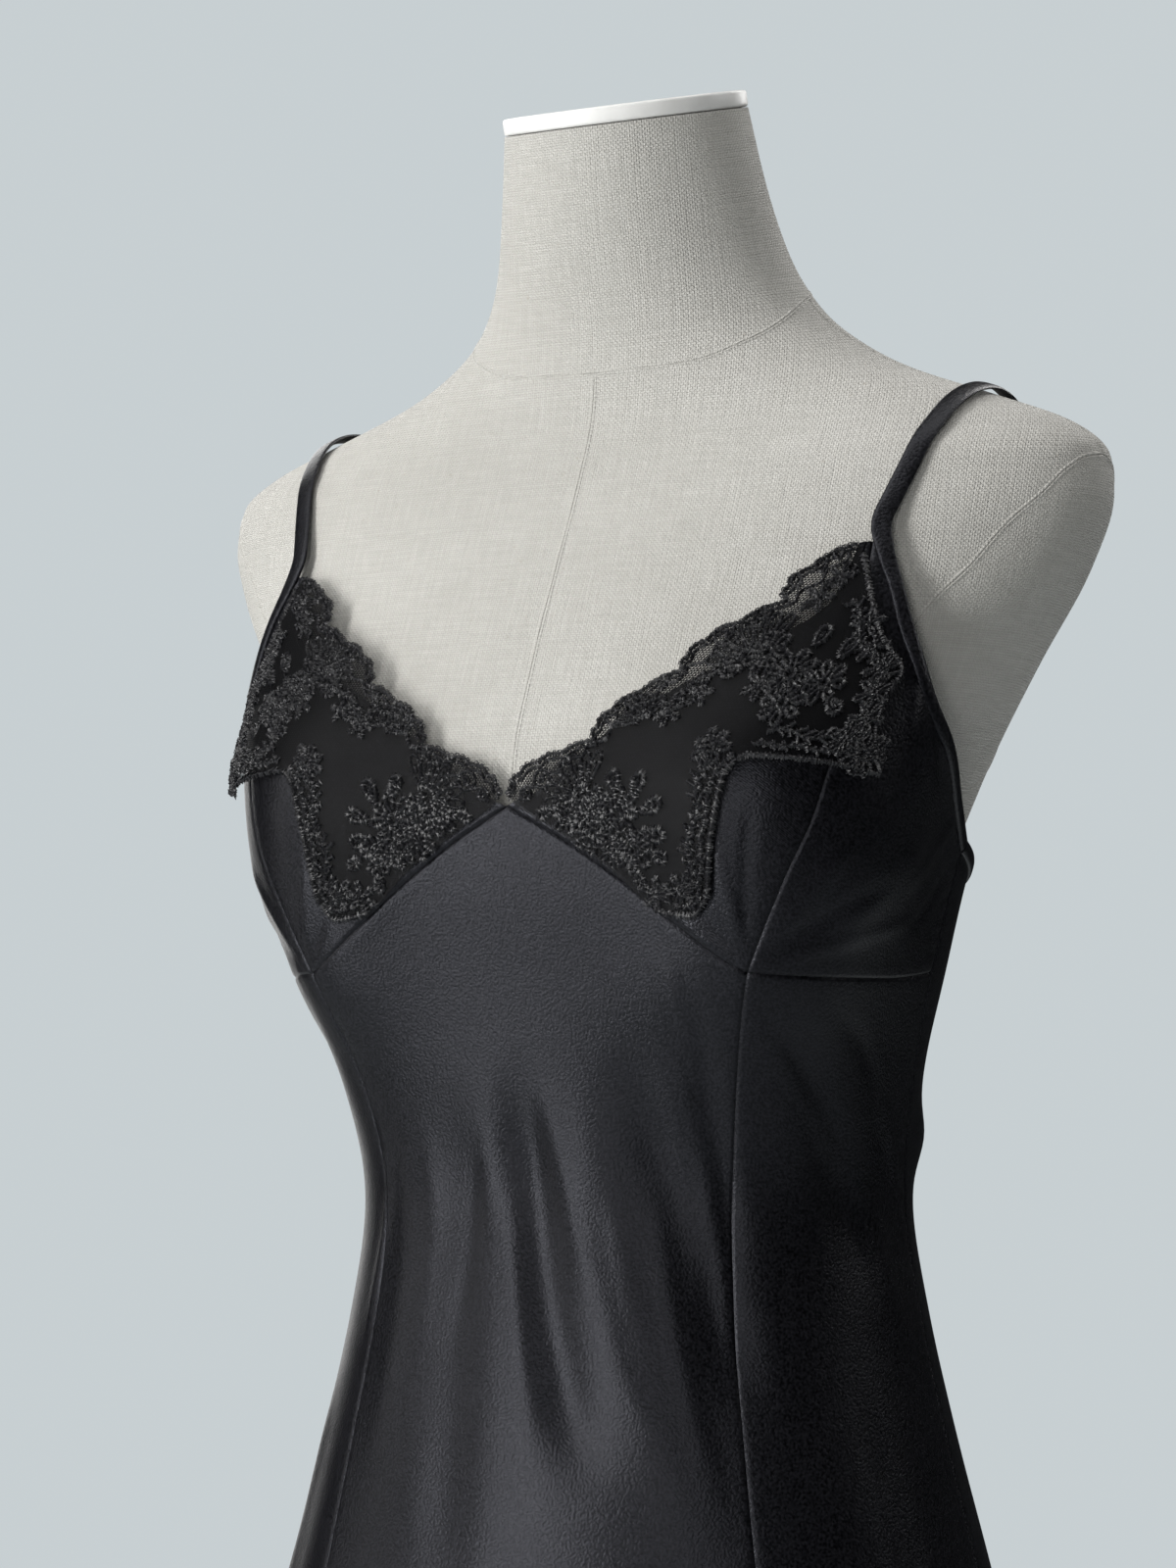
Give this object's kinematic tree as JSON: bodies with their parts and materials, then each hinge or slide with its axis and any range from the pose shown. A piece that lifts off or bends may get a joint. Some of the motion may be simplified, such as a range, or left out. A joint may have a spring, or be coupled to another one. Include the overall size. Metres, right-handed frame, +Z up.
{
  "type": "slip dress on a dress form",
  "caption": "A satin slip dress with lace cups and thin shoulder straps, worn by a limbless linen dress form on a pole and a round base.",
  "frame": {"origin": "centre of the base's underside, on the floor", "axes": "+Z up along the pole; the front of the dress faces -Y and the wearer's left side is at +X"},
  "size_m": [0.4521, 0.38, 1.5081],
  "materials": {
    "black_satin": "soft satin, near black",
    "black_lace": "matt embroidered net",
    "linen": "plain woven, slubbed, matt",
    "white_wood": "painted white, satin",
    "steel": "satin"
  },
  "bodies": {
    "root": {"front_centre": "black_satin", "front_side_left": "black_satin", "front_side_right": "black_satin", "back_left": "black_satin", "back_right": "black_satin", "cup_inner_left": "black_satin", "cup_inner_right": "black_satin", "cup_outer_left": "black_satin", "cup_outer_right": "black_satin", "binding_left": "black_satin", "binding_right": "black_satin", "binding_back": "black_satin", "strap_left": "black_satin", "strap_right": "black_satin", "lace_left": "black_lace", "lace_right": "black_lace", "form_body": "linen", "form_neck_cap": "white_wood", "stand_pole": "steel", "stand_collar": "steel", "stand_base": "steel"}
  },
  "joints": []
}
